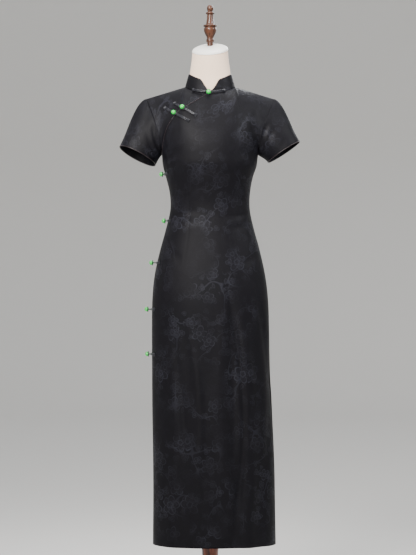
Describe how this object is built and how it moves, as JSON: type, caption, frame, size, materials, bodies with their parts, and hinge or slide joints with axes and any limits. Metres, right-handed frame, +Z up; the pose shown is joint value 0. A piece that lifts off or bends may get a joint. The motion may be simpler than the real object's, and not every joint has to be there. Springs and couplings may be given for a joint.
{
  "type": "cheongsam dress on a limbless dress form",
  "caption": "Long black jacquard cheongsam with a standing collar, slanting opening, short sleeves and beaded frogs, worn by a limbless dress form on a wooden pole and base.",
  "frame": {"origin": "centre of the underside of the stand's base, on the floor", "axes": "+Z up along the pole; -Y is the dress's front; +X is the wearer's left"},
  "size_m": [0.5155, 0.38, 1.708],
  "materials": {
    "jacquard": "black tone-on-tone jacquard, soft satin sheen on the flower scrolls",
    "satin": "very dark reddish-black satin bias strip",
    "bead_green": "polished bright green bead",
    "form_cloth": "cream close-woven cotton cover",
    "cap_white": "white satin-finish cap",
    "finial_wood": "turned hardwood, dark bronze-brown gloss varnish",
    "stand_wood": "turned hardwood, reddish-brown varnish"
  },
  "bodies": {
    "root": {"front_panel": "jacquard", "underlap_panel": "jacquard", "back_panel": "jacquard", "sleeve_left": "jacquard", "sleeve_right": "jacquard", "collar": "jacquard", "collar_piping": "satin", "opening_piping": "satin", "cuff_piping_left": "satin", "cuff_piping_right": "satin", "form_torso": "form_cloth", "neck_cap": "cap_white", "finial": "finial_wood", "pole": "stand_wood", "base": "stand_wood", "frog_collar_bead": "bead_green", "frog_collar_arm_a": "satin", "frog_collar_arm_b": "satin", "frog_chest_upper_bead": "bead_green", "frog_chest_upper_arm_a": "satin", "frog_chest_upper_arm_b": "satin", "frog_chest_lower_bead": "bead_green", "frog_chest_lower_arm_a": "satin", "frog_chest_lower_arm_b": "satin", "frog_side_1_bead": "bead_green", "frog_side_1_arm_a": "satin", "frog_side_1_arm_b": "satin", "frog_side_2_bead": "bead_green", "frog_side_2_arm_a": "satin", "frog_side_2_arm_b": "satin", "frog_side_3_bead": "bead_green", "frog_side_3_arm_a": "satin", "frog_side_3_arm_b": "satin", "frog_side_4_bead": "bead_green", "frog_side_4_arm_a": "satin", "frog_side_4_arm_b": "satin", "frog_side_5_bead": "bead_green", "frog_side_5_arm_a": "satin", "frog_side_5_arm_b": "satin"}
  },
  "joints": []
}
